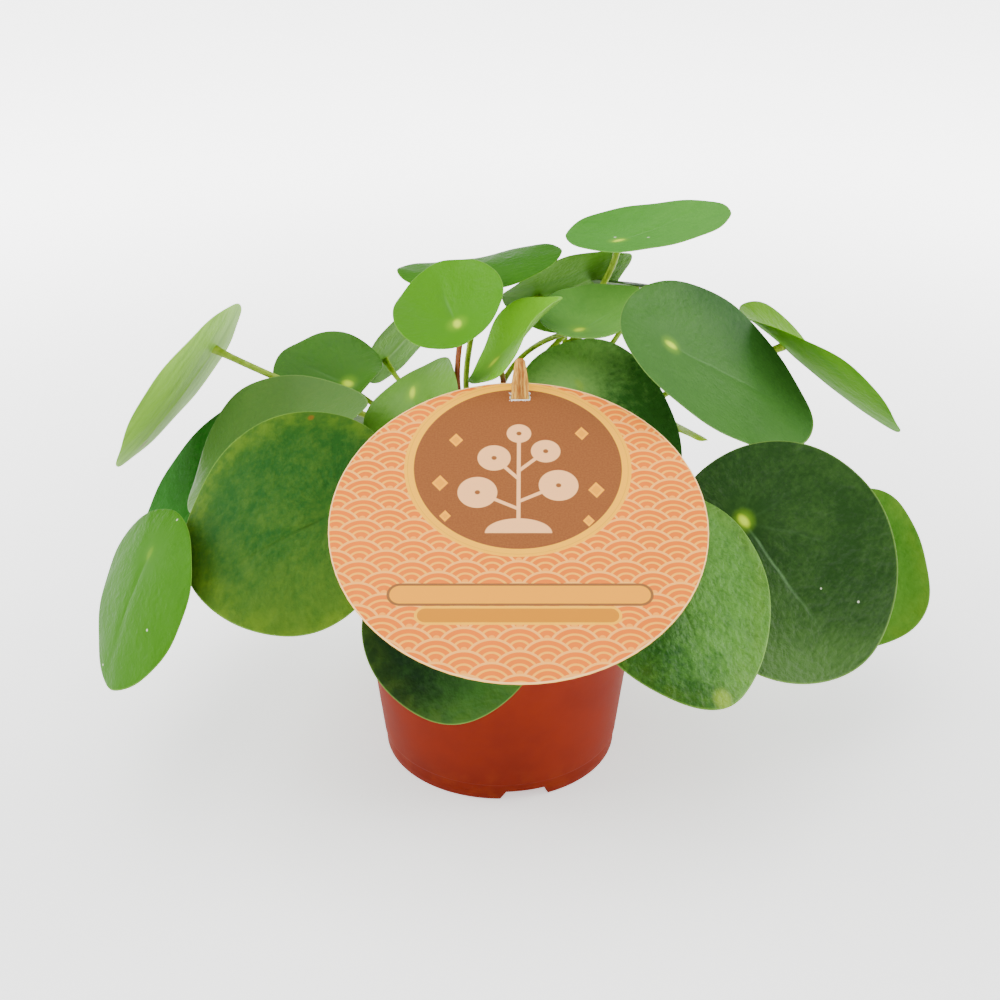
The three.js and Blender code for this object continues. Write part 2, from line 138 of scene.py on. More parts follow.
# Look of each leaf: light tone, dark tone, share of mottling; direction in degrees from the tip in which the
# blade grows lighter, which is painted light and shade (lit side and painted sheen lighter, shaded side and
# painted shadows of neighbours darker), where that painted shading begins and ends, its share; midrib (pale
# above 0, painted crease shade below 0), its direction; roughness, puckering. The two tones of some leaves
# are also set lighter or darker as painted light and shade.
LOOKS = {
    "leaf_01": (0x8AB44C, 0x5C9426, 0.7, 147, -25, 35, 0.2, 0.3, 0, 0.42, 0.6),
    "leaf_02": (0x2C6A22, 0x205414, 0.4, 145, -25, 35, 0.4, 0.1, 0, 0.40, 0.6),
    "leaf_03": (0x537432, 0x466E33, 0.4, 14, -25, 35, 0.2, 0.1, 0, 0.45, 0.8),
    "leaf_04": (0x425F1E, 0x1C4616, 0.8, 108, -14, 28, 0.6, -0.9, 23, 0.48, 1.0),
    "leaf_05": (0x376A0E, 0x2F5E08, 0.4, 86, -25, 35, 0.3, 0.2, 0, 0.42, 0.7),
    "leaf_06": (0x44701C, 0x38681C, 0.5, 156, -25, 35, 0.4, 0.3, 0, 0.36, 0.8),
    # leaf_07: the pale part of its underside is painted sheen
    "leaf_07": (0x7CA85A, 0x2C5212, 0.5, -30, -12, 10, 1.0, 0.3, 0, 0.50, 0.6),
    "leaf_08": (0x629232, 0x4C7A1E, 0.5, 49, -25, 25, 0.4, 0.3, 0, 0.40, 0.7),
    "leaf_09": (0x366C0A, 0x265804, 0.5, 90, -25, 35, 0.4, 0.3, 0, 0.42, 0.6),
    "leaf_10": (0x447A08, 0x3D7A03, 0.3, 0, -25, 35, 0.2, 0.3, 0, 0.40, 0.5),
    "leaf_11": (0x6EAE16, 0x62A41C, 0.4, 0, -25, 35, 0.3, 0.4, 0, 0.40, 0.7),
    "leaf_12": (0x5C8430, 0x447022, 0.6, 0, -25, 35, 0.3, 0.3, 0, 0.50, 0.8),
    "leaf_13": (0x6CA040, 0x4A8230, 0.4, -74, -25, 35, 0.3, 0.3, 0, 0.40, 0.5),
    "leaf_14": (0x4C8830, 0x347218, 0.4, -42, -25, 35, 0.4, 0.3, 0, 0.38, 0.5),
    # leaf_15: darker towards its right side as the painted shadow of leaf_17
    "leaf_15": (0x3A6426, 0x224A18, 0.35, -120, -44, -14, 0.9, 0.35, 4, 0.42, 0.6),
    # leaf_16: painted sheen on the upper left, painted shade from the leaves above on the rest
    "leaf_16": (0x8ABA60, 0x2E5E24, 0.5, -142, -22, 8, 1.0, 0.1, 0, 0.40, 1.4),
    "leaf_17": (0x5E8C1E, 0x487412, 0.6, 0, -25, 35, 0.4, 0.3, 0, 0.42, 0.8),
    # leaf_18: bright yellow-green tones, painted light shining through the leaf from behind
    "leaf_18": (0xC8E03C, 0xB0D02C, 0.4, 0, -25, 35, 0.3, 0.2, 0, 0.42, 0.6),
    "leaf_19": (0x3A5A24, 0x1C3812, 0.6, -60, 6, 46, 0.8, 0.6, -7, 0.40, 1.6),
    "leaf_20": (0x467222, 0x305C12, 0.7, -54, -25, 35, 0.5, 0.3, 0, 0.42, 0.8),
    # leaf_21: a painted sheen band across the blade
    "leaf_21": (0x4E7C30, 0x1E4812, 0.9, 97, -20, 6, 0.9, -0.3, 0, 0.38, 1.5),
    # leaf_22: dark tones and fade, the painted shadow of the card above it
    "leaf_22": (0x2A5018, 0x0A2208, 0.5, 60, 2, 26, 1.0, -0.3, 5, 0.42, 0.8),
    "leaf_24": (0x2C5018, 0x1C3C0E, 0.4, 0, -25, 35, 0.3, 0.1, 0, 0.42, 0.6),
}
PLAIN_LOOK = (0x3E6E20, 0x2A5616, 0.6, 0, -25, 35, 0.3, 0.3, 0, 0.42, 0.8)
# Tone of the underside where it is seen, painted brighter for the light falling on it and shining through it
UNDERSIDES = {
    "leaf_01": 0x9ACE4C,
    "leaf_07": 0x6CA82A,
    "leaf_12": 0x5C9420,
    "leaf_17": 0x4E8A10,
    "leaf_18": 0xC4E030,
}
# Strength of the bright dot over the stalk where it isn't full
FAINT_DOTS = {"leaf_03": 0.1, "leaf_05": 0.1, "leaf_16": 0.2, "leaf_21": 0.2, "leaf_04": 0.4}
# Yellowish margin where a leaf has one
WARM_MARGINS = {"leaf_04": 0.6, "leaf_20": 0.4, "leaf_22": 0.2, "leaf_21": 0.3}
WHITE_SPECK = 0xDCE4C8
# Small marks on single leaves: place along and across the blade, radius, colour
MARKS = {
    "leaf_01": ((47, -6, 3.0, 0x9A8450),),
    "leaf_04": ((14, -38, 1.3, 0x6E4A16),),
    "leaf_05": ((-15, 3, 0.5, WHITE_SPECK), (22, 18, 0.5, WHITE_SPECK), (45, -8, 0.5, WHITE_SPECK)),
    "leaf_14": ((2, 5, 0.6, WHITE_SPECK), (8, -8, 0.6, WHITE_SPECK)),
    "leaf_19": ((49, 11, 0.5, WHITE_SPECK), (36, 4, 0.4, WHITE_SPECK)),
    "leaf_21": ((58, 1, 4.0, 0x7C9A2A),),
}
# Leaves with hardly any sheen, and leaves on brownish stalks
DULL_LEAVES = ("leaf_02", "leaf_04", "leaf_05", "leaf_09", "leaf_14", "leaf_17", "leaf_20")
BROWN_STALKS = ("leaf_10", "leaf_11")


def linear(code):
    """A colour code as linear red, green, blue, alpha."""
    parts = [((code >> shift) & 255) / 255 for shift in (16, 8, 0)]
    lin = [p / 12.92 if p <= 0.04045 else ((p + 0.055) / 1.055) ** 2.4 for p in parts]
    return (*lin, 1.0)


class Shader:
    """A node material under construction: each method adds one node and returns its output."""

    def __init__(self, name):
        self.material = bpy.data.materials.new(name)
        self.material.use_nodes = True
        self.tree = self.material.node_tree
        self.surface = self.tree.nodes["Principled BSDF"]

    def node(self, kind, **settings):
        made = self.tree.nodes.new(kind)
        for key, value in settings.items():
            setattr(made, key, value)
        return made

    def put(self, socket, value):
        if isinstance(value, bpy.types.NodeSocket):
            self.tree.links.new(value, socket)
        elif value is not None:
            socket.default_value = value

    def math(self, operation, a, b=None, c=None):
        made = self.node("ShaderNodeMath", operation=operation)
        for socket, value in zip(made.inputs, (a, b, c)):
            self.put(socket, value)
        return made.outputs[0]

    def add(self, a, b):
        return self.math("ADD", a, b)

    def sub(self, a, b):
        return self.math("SUBTRACT", a, b)

    def mul(self, a, b):
        return self.math("MULTIPLY", a, b)

    def ramp(self, value, low, high, out_low=0.0, out_high=1.0):
        made = self.node("ShaderNodeMapRange", interpolation_type="SMOOTHSTEP")
        for index, item in enumerate((value, low, high, out_low, out_high)):
            self.put(made.inputs[index], item)
        return made.outputs[0]

    def mix(self, share, a, b, blend="MIX"):
        made = self.node("ShaderNodeMix", data_type="RGBA", blend_type=blend)
        self.put(made.inputs[0], share)
        self.put(made.inputs[6], linear(a) if isinstance(a, int) else a)
        self.put(made.inputs[7], linear(b) if isinstance(b, int) else b)
        return made.outputs[2]

    def vector(self, x, y, z=0.0):
        made = self.node("ShaderNodeCombineXYZ")
        for socket, value in zip(made.inputs, (x, y, z)):
            self.put(socket, value)
        return made.outputs[0]

    def split(self, vector):
        made = self.node("ShaderNodeSeparateXYZ")
        self.put(made.inputs[0], vector)
        return made.outputs[0], made.outputs[1], made.outputs[2]

    def noise(self, vector, scale, detail=3.0, rough=0.5, distort=0.0):
        made = self.node("ShaderNodeTexNoise")
        self.put(made.inputs["Vector"], vector)
        self.put(made.inputs["Scale"], scale)
        self.put(made.inputs["Detail"], detail)
        self.put(made.inputs["Roughness"], rough)
        self.put(made.inputs["Distortion"], distort)
        return made.outputs[0]

    def cells(self, vector, scale, feature="F1"):
        made = self.node("ShaderNodeTexVoronoi", feature=feature)
        self.put(made.inputs["Vector"], vector)
        self.put(made.inputs["Scale"], scale)
        return made.outputs["Distance"]

    def object_point(self):
        return self.node("ShaderNodeTexCoord").outputs["Object"]

    def attribute(self, name):
        return self.node("ShaderNodeAttribute", attribute_name=name).outputs["Fac"]

    def bump(self, height, distance, strength=1.0):
        made = self.node("ShaderNodeBump")
        self.put(made.inputs["Strength"], strength)
        self.put(made.inputs["Distance"], distance)
        self.put(made.inputs["Height"], height)
        self.put(self.surface.inputs["Normal"], made.outputs[0])

    def finish(self, color, roughness, **constants):
        self.put(self.surface.inputs["Base Color"], color)
        self.put(self.surface.inputs["Roughness"], roughness)
        for name, value in constants.items():
            self.surface.inputs[name.replace("_", " ")].default_value = value
        return self.material


# Meshes

def build(name, points, faces, materials, uv=None, floats=None, face_material=None):
    """A smooth mesh object from points in millimetres from the pot's axis."""
    mesh = bpy.data.meshes.new(name)
    mesh.from_pydata(((np.asarray(points) + AXIS) * MM).tolist(), [], faces)
    mesh.polygons.foreach_set("use_smooth", np.ones(len(mesh.polygons), dtype=bool))
    for material in materials:
        mesh.materials.append(material)
    if face_material is not None:
        mesh.polygons.foreach_set("material_index", np.asarray(face_material, dtype=np.int32))
    if uv is not None:
        loops = np.zeros(len(mesh.loops), dtype=np.int32)
        mesh.loops.foreach_get("vertex_index", loops)
        layer = mesh.uv_layers.new(name="leaf")
        layer.data.foreach_set("uv", np.asarray(uv, dtype=np.float32)[loops].ravel())
    for key, values in (floats or {}).items():
        attribute = mesh.attributes.new(key, "FLOAT", "POINT")
        attribute.data.foreach_set("value", np.asarray(values, dtype=np.float32))
    mesh.update()
    made = bpy.data.objects.new(name, mesh)
    bpy.context.scene.collection.objects.link(made)
    return made


def dress(piece, node):
    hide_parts(node)
    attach(piece, "root")


def ring_faces(rings, sides, start=0):
    """Quads between rings of the same number of points, each ring closed on itself."""
    faces = []
    for k in range(rings - 1):
        for i in range(sides):
            a = start + k * sides + i
            b = start + k * sides + (i + 1) % sides
            faces.append((a, b, b + sides, a + sides))
    return faces


# Leaves

def leaf_axes(row):
    a, lean, spin = (math.radians(v) for v in row[4:7])
    normal = np.array([math.sin(lean) * math.cos(a), math.sin(lean) * math.sin(a), math.cos(lean)])
    down = np.array([math.cos(lean) * math.cos(a), math.cos(lean) * math.sin(a), -math.sin(lean)])
    tip = down * math.cos(spin) + np.cross(normal, down) * math.sin(spin)
    return normal, tip, np.cross(normal, tip)


# Veins: direction from the midrib, strength
VEINS = ((0, 1.0), (40, 0.13), (-40, 0.13), (82, 0.1), (-82, 0.1), (128, 0.06), (-128, 0.06))


def leaf_relief(u, v, rho, theta, index, midrib_way, puckering):
    """Small relief on the part's blade: veins sunk into the upper side, the fields between them raised."""
    rise = np.zeros_like(u)
    for angle, depth in VEINS:
        phi = math.radians(angle + midrib_way)
        off = u * math.sin(phi) - v * math.cos(phi)
        ahead = u * math.cos(phi) + v * math.sin(phi)
        groove = np.exp(-(off / VEIN_WIDTH) ** 2) * np.clip(ahead / 6, 0, 1)
        rise -= VEIN_DEPTH * depth * groove * (1 - rho ** 4)
    pucker = np.sin(u / 3.1 + 2.0 * np.sin(v / 6.3 + index)) * np.sin(v / 3.7 + index)
    rise += PUCKER_RISE * puckering * pucker * rho * (1 - rho ** 6)
    rise += MARGIN_WAVE * rho ** 6 * np.sin(7 * theta + 2.3 * index) * np.sin(2 * theta + index)
    return rise


def leaf_sheet(row, index):
    """The blade's middle surface on a polar grid: points, own coordinates and the share of the way out."""
    name, x, y, z, azimuth, lean, spin, length, width, droop, cup, ripple = row[:12]
    normal, tip, across_way = leaf_axes(row)
    inner = np.linspace(0, 0.93, RINGS + 1)[1:]
    rho = np.concatenate([inner, [EDGE, 0.975, 0.988, 0.996, 1.0]])[:, None]
    theta = (np.arange(SECTORS) * 2 * math.pi / SECTORS)[None, :]
    c = np.cos(theta)
    along = OFFSET * length + 0.5 * length * c + TIP * length * np.maximum(0, c) ** 8
    across = 0.5 * width * np.sin(theta) * (1 - 0.07 * c)
    u = rho * along
    v = rho * across
    reach = np.where(u > 0, u / ((0.5 + OFFSET) * length), 0.55 * u / ((0.5 - OFFSET) * length))
    rise = -droop * reach ** 2 + cup * (v / (0.5 * width)) ** 2
    rise = rise + ripple * rho ** 3 * np.sin(3 * theta + 1.7 * index)
    rho, theta = np.broadcast_arrays(rho, theta)
    midrib_way, _, puckering = LOOKS.get(name, PLAIN_LOOK)[8:]
    rise = rise + leaf_relief(u, v, rho, theta, index, midrib_way, puckering)
    points = np.array([x, y, z]) + u[..., None] * tip + v[..., None] * across_way + rise[..., None] * normal
    return points, u, v, rho


def stalk_path(row, steps):
    """The stalk's bent middle line from the trunk to the joint, and the radius along it."""
    joint = np.array(row[1:4], dtype=float)
    length = row[7]
    stem, side, rise = row[12:15]
    normal = leaf_axes(row)[0]
    share = (stem - SOIL_TOP) / (CROWN_Z - SOIL_TOP)
    start = np.array([CROWN_X * share, CROWN_Y * share, stem])
    out = joint - start
    out[2] = 0
    out /= np.linalg.norm(out)
    foot = start + out * STALK_START
    reach = np.linalg.norm(joint - foot)
    meet = normal - np.array([0, 0, 0.3])
    meet /= np.linalg.norm(meet)
    bow = np.array([-out[1] * side, out[0] * side, rise])
    first = foot + (out * 0.9 + np.array([0, 0, 0.4])) * 0.35 * reach + bow
    second = joint - meet * 0.25 * reach + bow * 0.5
    t = np.linspace(0, 1, steps + 1)[:, None]
    path = (1 - t) ** 3 * foot + 3 * (1 - t) ** 2 * t * first + 3 * (1 - t) * t * t * second + t ** 3 * joint
    radius = min(max(STALK_R + STALK_R_GAIN * length, STALK_R_MIN), STALK_R_MAX)
    t = t[:, 0]
    width = radius * (0.92 - 0.12 * np.sin(math.pi * t) + 0.35 * np.exp(-((1 - t) / 0.04) ** 2))
    return path, width, t


def tube(path, width, sides):
    """Rings of points round a line, with as little twist as its bends allow."""
    ways = np.gradient(path, axis=0)
    ways /= np.linalg.norm(ways, axis=1)[:, None]
    side = np.cross(ways[0], [0.31, 0.22, 0.93])
    rings = []
    for point, way, radius in zip(path, ways, width):
        side = side - way * (side @ way)
        side /= np.linalg.norm(side)
        other = np.cross(way, side)
        turn = np.arange(sides) * 2 * math.pi / sides
        rings.append(point + radius * (np.outer(np.cos(turn), side) + np.outer(np.sin(turn), other)))
    return np.vstack(rings)


def leaf_mesh(row, index, materials):
    sheet, u, v, rho = leaf_sheet(row, index)
    rings = len(sheet)
    grow = np.gradient(sheet, axis=0)
    turn = np.roll(sheet, -1, axis=1) - np.roll(sheet, 1, axis=1)
    normals = np.cross(grow, turn)
    normals /= np.linalg.norm(normals, axis=2)[..., None]
    centre_normal = leaf_axes(row)[0]
    if (normals[4] @ centre_normal).mean() < 0:
        normals = -normals
    edge = np.clip((rho - EDGE) / (1 - EDGE), 0, 1)
    half = HALF - HALF_LESS * np.clip((rho - 0.5) / (EDGE - 0.5), 0, 1)
    half = half * np.sqrt(np.maximum(0, 1 - edge ** 2))
    joint = np.array(row[1:4], dtype=float)
    top = sheet + normals * half[..., None]
    bottom = (sheet - normals * half[..., None])[:-1]
    count = rings * SECTORS
    points = np.vstack([top.reshape(-1, 3), bottom.reshape(-1, 3),
                        [joint + centre_normal * HALF, joint - centre_normal * HALF]])
    faces = [tuple(reversed(face)) for face in ring_faces(rings, SECTORS)]
    under = ring_faces(rings - 1, SECTORS, count)
    last_top = (rings - 1) * SECTORS
    last_under = count + (rings - 2) * SECTORS
    for i in range(SECTORS):
        j = (i + 1) % SECTORS
        under.append((last_under + i, last_under + j, last_top + j, last_top + i))
    middle = len(points) - 2
    for i in range(SECTORS):
        j = (i + 1) % SECTORS
        faces.append((middle, i, j))
        under.append((middle + 1, count + j, count + i))
    faces += under
    blade_faces = len(faces)
    inside = (rings - 1) * SECTORS
    flat = np.stack([u, v], -1)
    uv = np.vstack([flat.reshape(-1, 2), flat[:-1].reshape(-1, 2), [[0, 0], [0, 0]]])
    rims = np.concatenate([rho.ravel(), rho[:-1].ravel(), [0, 0]])
    lower = np.concatenate([np.zeros(inside), np.full(SECTORS, 0.5), np.ones(inside), [0, 1]])
    path, width, t = stalk_path(row, STALK_STEPS)
    pipe = tube(path, width, STALK_SIDES)
    # the stalk's end stays inside the blade
    over = (pipe - joint) @ centre_normal + STALK_END_UNDER
    near = np.linalg.norm(pipe - joint, axis=1) < 8
    pipe -= np.outer(np.where(near, np.maximum(over, 0), 0), centre_normal)
    start = len(points)
    points = np.vstack([points, pipe])
    faces += ring_faces(STALK_STEPS + 1, STALK_SIDES, start)
    along = np.repeat(t, STALK_SIDES)
    around = np.tile(np.arange(STALK_SIDES) / STALK_SIDES, STALK_STEPS + 1)
    uv = np.vstack([uv, np.stack([along, around], -1)])
    rims = np.concatenate([rims, along])
    lower = np.concatenate([lower, np.zeros(len(pipe))])
    which = np.zeros(len(faces), dtype=np.int32)
    which[blade_faces:] = 1
    return build(row[0], points, faces, materials, uv, {"rim": rims, "under": lower}, which)


def blade_material(name, look, index):
    light, dark, mottling, painted_shading_way, painted_shading_from, painted_shading_to, painted_shading, midrib, midrib_way, roughness, puckering = look
    s = Shader(name + "_blade")
    u, v, _ = s.split(s.node("ShaderNodeUVMap", uv_map="leaf").outputs[0])
    rim = s.attribute("rim")
    under = s.ramp(s.attribute("under"), 0.2, 0.8)
    here = s.vector(u, v, 17.0 * index)
    u_bent = s.add(u, s.mul(s.sub(s.noise(here, 0.05, 2.0), 0.5), 5.0))
    v_bent = s.add(v, s.mul(s.sub(s.noise(s.vector(v, u, 5.0 * index), 0.04, 2.0), 0.5), 4.0))
    distance = s.math("SQRT", s.add(s.mul(u, u), s.mul(v, v)))

    # tone: mottling, finer grain that runs out from the dot, and the painted light and shade over the blade
    turn = s.math("ARCTAN2", v, u)
    away = s.ramp(distance, 3.0, 14.0)
    grain = s.noise(s.vector(s.mul(distance, 0.16), s.mul(turn, 5.0), 3.0 * index), 1.6, 3.0, 0.6)
    grain = s.add(0.5, s.mul(s.sub(grain, 0.5), away))
    cloud = s.noise(here, 0.05, 4.0, 0.6, 0.8)
    # painted light and shade: the blade lighter towards its lit side and sheen, darker towards its shaded
    # side and cast shadows
    phi = math.radians(painted_shading_way)
    ahead = s.add(s.mul(u, math.cos(phi)), s.mul(v, math.sin(phi)))
    tone = s.mul(s.ramp(ahead, painted_shading_from, painted_shading_to, -1.0, 1.0), painted_shading * 0.5)
    tone = s.add(tone, s.mul(s.sub(cloud, 0.5), 1.5 * mottling))
    tone = s.add(tone, s.mul(s.sub(grain, 0.5), 1.1 * mottling))
    tone = s.add(tone, s.mul(s.sub(s.noise(here, 0.5, 4.0, 0.65), 0.5), 1.5 * mottling))
    color = s.mix(s.math("MAXIMUM", 0.0, s.math("MINIMUM", 1.0, s.add(tone, 0.5))), dark, light)

    # veins: pale lines where the midrib share is above 0, painted crease shade where it is below 0
    lines = None
    for angle, depth in VEINS:
        phi = math.radians(angle + midrib_way)
        off = s.math("ABSOLUTE", s.sub(s.mul(u_bent, math.sin(phi)), s.mul(v_bent, math.cos(phi))))
        ahead = s.add(s.mul(u, math.cos(phi)), s.mul(v, math.sin(phi)))
        line = s.mul(s.ramp(off, 0.0, 0.9, depth, 0.0), s.ramp(ahead, 1.0, 9.0))
        lines = line if lines is None else s.math("MAXIMUM", lines, line)
    lines = s.mul(s.mul(lines, s.ramp(rim, 0.15, 0.85, 1.0, 0.0)), s.ramp(cloud, 0.3, 0.6, 0.4, 1.0))
    # painted crease shade: with a midrib share below 0 the vein lines are darkened as if the folds lay in
    # shadow
    color = s.mix(s.mul(lines, abs(midrib) * 0.55), color, 0x78A46C if midrib > 0 else 0x163408)

    # margin and dot
    if name in WARM_MARGINS:
        patch = s.ramp(s.noise(here, 0.16, 3.0, 0.6), 0.4, 0.65)
        warm = s.mul(s.ramp(rim, 0.72, 0.99), s.add(0.3, s.mul(patch, 0.7)))
        color = s.mix(s.mul(warm, WARM_MARGINS[name] * 0.8), color, 0x5E7A1A)
    color = s.mix(s.mul(s.ramp(rim, 0.986, 0.996), 0.3), color, 0x86B048)
    dot = FAINT_DOTS.get(name, 1.0)
    color = s.mix(s.ramp(distance, 1.2, 5.5, 0.4 * dot, 0.0), color, 0x7FB01A)
    drawn = s.math("SQRT", s.add(s.math("POWER", s.mul(s.math("ABSOLUTE", u), 0.62), 2.0), s.mul(v, v)))
    color = s.mix(s.ramp(drawn, 0.5, 2.2, 0.95 * dot, 0.0), color, 0xBCD80A)

    # underside: paler and duller; the listed tones are painted light for lit undersides
    back = UNDERSIDES.get(name)
    back = s.mix(0.4, color, 0x7C9A5C) if back is None else s.mix(s.mul(s.sub(1.0, cloud), 0.5), back, color)
    streaks = s.noise(s.vector(s.mul(u, 0.02), s.mul(v, 0.16), 11.0 * index), 1.0, 3.0)
    back = s.mix(s.ramp(streaks, 0.42, 0.62, 0.0, 0.45), back, s.mix(0.5, back, 0x2C6A08))
    back = s.mix(s.mul(lines, 0.4), back, 0x9CB870)
    color = s.mix(under, color, back)
    for place_u, place_v, radius, tint in MARKS.get(name, ()):
        du = s.sub(u, place_u)
        dv = s.sub(v, place_v)
        gap = s.math("SQRT", s.add(s.mul(du, du), s.mul(dv, dv)))
        color = s.mix(s.ramp(gap, 0.4 * radius, 1.2 * radius, 0.75, 0.0), color, tint)

    rough = s.add(s.mul(s.sub(grain, 0.5), 0.12), s.add(roughness, s.mul(under, 0.12)))
    fine = s.noise(here, 0.45, 2.0, 0.5)
    height = s.add(s.mul(grain, 0.6), s.add(s.mul(fine, 0.5), s.mul(cloud, 0.5)))
    s.bump(s.mul(s.sub(height, s.mul(lines, 0.3)), away), 0.0011, 0.75 * puckering)
    return s.finish(color, rough, Specular_IOR_Level=0.02 if name in DULL_LEAVES else 0.09)


def stalk_material(name, brown):
    s = Shader(name)
    along, _, _ = s.split(s.node("ShaderNodeUVMap", uv_map="leaf").outputs[0])
    point = s.object_point()
    streak = s.noise(point, 420.0, 3.0)
    green = s.mix(s.ramp(streak, 0.35, 0.65), 0x7C9A14, 0x94B02A)
    red = s.mix(s.ramp(streak, 0.35, 0.65), 0x7A3410, 0x8E4C1A)
    share = s.ramp(along, 0.55, 0.98, 1.0, 0.0) if brown else s.ramp(along, 0.0, 0.45, 0.45, 0.0)
    color = s.mix(share, green, red)
    s.bump(streak, 0.0002, 0.4)
    return s.finish(color, 0.4, Specular_IOR_Level=0.2)


green_stalk = stalk_material("stalk_green", False)
brown_stalk = stalk_material("stalk_brown", True)
for number, row in enumerate(LEAVES):
    blade = blade_material(row[0], LOOKS.get(row[0], PLAIN_LOOK), number)
    stalk = brown_stalk if row[0] in BROWN_STALKS else green_stalk
    dress(leaf_mesh(row, number, [blade, stalk]), row[0])


# Pot

def pot_mesh(material):
    sides = 240

    def body(z):
        return BASE_R + TAPER * z

    profile = [
        (0.0, FLOOR_TOP), (body(FLOOR_TOP) - WALL - 0.8, FLOOR_TOP),
        (body(FLOOR_TOP) - WALL, FLOOR_TOP + 0.8),
        (body(COLLAR_Z) - WALL, COLLAR_Z + 0.4), (COLLAR_R - 0.8, COLLAR_Z + 1.6),
        (RIM_R - 1.3, POT_H - 0.6), (RIM_R - 1.1, POT_H - 0.15), (RIM_R - 0.65, POT_H),
        (RIM_R - 0.2, POT_H - 0.15), (RIM_R, POT_H - 0.6),
        (COLLAR_R + 0.5, COLLAR_Z + 1.0), (COLLAR_R + 0.3, COLLAR_Z + 0.2),
        (COLLAR_R - 0.2, COLLAR_Z), (body(COLLAR_Z) + 0.3, COLLAR_Z), (body(COLLAR_Z), COLLAR_Z - 0.4),
        (body(40), 40), (body(LEDGE_Z + 0.6), LEDGE_Z + 0.6), (body(LEDGE_Z + 0.25), LEDGE_Z + 0.25),
        (body(LEDGE_Z) - LEDGE_STEP, LEDGE_Z), (body(LEDGE_Z) - LEDGE_STEP, LEDGE_Z - 0.4),
        (body(NOTCH_H + 0.3) - 0.3, NOTCH_H + 0.3), (body(NOTCH_H) - 0.25, NOTCH_H),
        (BASE_R, 0.6), (BASE_R - 0.15, 0.15), (BASE_R - 0.5, 0.0),
        (FOOT_RING_R + 0.4, 0.0), (FOOT_RING_R + 0.1, 0.15), (FOOT_RING_R, 0.5),
        (FOOT_RING_R, NOTCH_H), (FOOT_RING_R, FLOOR_UNDER), (0.0, FLOOR_UNDER),
    ]
    # angles of the rings, with close pairs at the sides of the notches so that those stay sharp
    angles = set(np.arange(sides) * 360.0 / sides)
    for k in range(NOTCHES):
        middle = NOTCH_AZ + k * 360.0 / NOTCHES
        for edge in NOTCH_FOOT + NOTCH_TOP:
            angles.add((middle + math.degrees(edge / BASE_R)) % 360.0)
    angles = np.array(sorted(angles))

    def lift(angle, z):
        for k in range(NOTCHES):
            middle = NOTCH_AZ + k * 360.0 / NOTCHES
            off = math.radians((angle - middle + 180.0) % 360.0 - 180.0) * BASE_R
            corners = [NOTCH_FOOT[0], NOTCH_TOP[0], NOTCH_TOP[1], NOTCH_FOOT[1]]
            z = max(z, np.interp(off, corners, [0, NOTCH_H, NOTCH_H, 0]))
        return z

    points = []
    for r, z in profile:
        for angle in angles:
            high = lift(angle, z) if z < NOTCH_H and r > 0 else z
            a = math.radians(angle)
            points.append((r * math.cos(a), r * math.sin(a), high))
    faces = [tuple(reversed(face)) for face in ring_faces(len(profile), len(angles))]
    return build("pot_shell", points, faces, [material])


def pot_material():
    s = Shader("pot_plastic")
    point = s.object_point()
    cloud = s.noise(point, 35.0, 4.0, 0.6)
    color = s.mix(s.ramp(cloud, 0.3, 0.7), 0x701C07, 0x7C220A)
    _, _, z = s.split(point)
    # painted bounce light from the floor: the pot lighter in patches towards its foot
    painted_floor_bounce = s.mul(s.ramp(z, 0.0, 0.02, 0.35, 0.0), s.ramp(s.noise(point, 160.0, 4.0), 0.45, 0.7))
    color = s.mix(painted_floor_bounce, color, 0x8A3410)
    fine = s.noise(point, 900.0, 2.0)
    s.bump(s.add(s.mul(cloud, 0.6), s.mul(fine, 0.1)), 0.0006, 0.35)
    return s.finish(color, s.ramp(cloud, 0.3, 0.7, 0.5, 0.58), Specular_IOR_Level=0.06)


dress(pot_mesh(pot_material()), "pot")


# Nodes kept from the part: soil, trunk, card and stick

def dress_node(node, material):
    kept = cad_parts[node]
    for holder in kept.material_slots:
        holder.material = material


def soil_material():
    s = Shader("soil_peat")
    point = s.object_point()
    lumps = s.cells(point, 260.0)
    fine = s.noise(point, 700.0, 4.0, 0.7)
    color = s.mix(s.ramp(fine, 0.35, 0.7), 0x1E140D, 0x4E3826)
    color = s.mix(s.ramp(lumps, 0.0, 0.35, 0.5, 0.0), color, 0x6B5138)
    s.bump(s.add(lumps, s.mul(fine, 0.6)), 0.002, 0.9)
    return s.finish(color, 0.95, Specular_IOR_Level=0.2)


def trunk_material():
    s = Shader("trunk_bark")
    point = s.object_point()
    x, y, z = s.split(point)
    rings = s.noise(s.vector(s.mul(x, 0.3), s.mul(y, 0.3), z), 420.0, 3.0)
    color = s.mix(s.ramp(rings, 0.35, 0.65), 0x5E5A34, 0x8C7A4C)
    color = s.mix(s.ramp(z, 0.115, 0.142), color, 0x86983E)
    s.bump(rings, 0.0008, 0.7)
    return s.finish(color, 0.75, Specular_IOR_Level=0.3)


def wood_material():
    s = Shader("stick_wood")
    point = s.object_point()
    x, y, z = s.split(point)
    x_mm = s.mul(s.sub(x, (AXIS[0] + 7.0) * MM), 1000.0)
    grain = s.noise(s.vector(s.mul(x, 6.0), s.mul(y, 6.0), s.mul(z, 0.35)), 260.0, 4.0, 0.6)
    color = s.mix(s.ramp(grain, 0.35, 0.65), 0xE6B84E, 0xB47420)
    core = s.ramp(s.math("ABSOLUTE", s.sub(x_mm, 0.3)), 0.5, 1.9, 0.85, 0.0)
    color = s.mix(s.mul(core, s.ramp(grain, 0.3, 0.6, 0.6, 1.0)), color, 0x8A4A08)
    s.bump(grain, 0.0004, 0.6)
    return s.finish(color, 0.6, Specular_IOR_Level=0.3)


dress_node("soil", soil_material())
dress_node("trunk", trunk_material())
dress_node("label_stick", wood_material())

# Card artwork, in millimetres from the card's middle: right, and up the card
SCALE_R = 8.5                   # radius of one wave scale; rows lie half a radius apart
SCALE_X = 0.0
SCALE_Y = 1.0
DISC_Y = 23.5
DISC_R = 35.0
RING_R = 38.2
